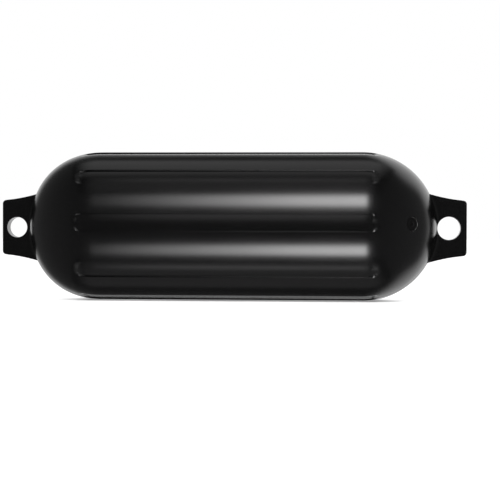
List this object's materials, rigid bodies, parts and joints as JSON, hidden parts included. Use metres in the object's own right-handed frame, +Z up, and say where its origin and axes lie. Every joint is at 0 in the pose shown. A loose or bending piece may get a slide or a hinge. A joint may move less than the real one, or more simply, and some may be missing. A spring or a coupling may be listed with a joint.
{
  "type": "pneumatic fender",
  "caption": "Inflatable cylindrical boat fender with long flutes, rounded ends, a flat rope eye at each end and a rubber inflation valve in one shoulder",
  "frame": {"origin": "on the fender's axis, halfway along it", "axes": "+X runs along the axis towards the end with the valve, the eyes are flat in the XZ plane, and +Z is up with the fender lying on its side"},
  "size_m": [0.686, 0.2184, 0.2185],
  "materials": {
    "vinyl": "semi-gloss black moulded vinyl",
    "rubber": "matt black soft rubber"
  },
  "bodies": {
    "root": {"fender_body": "vinyl", "inflation_valve": "rubber"}
  },
  "joints": []
}
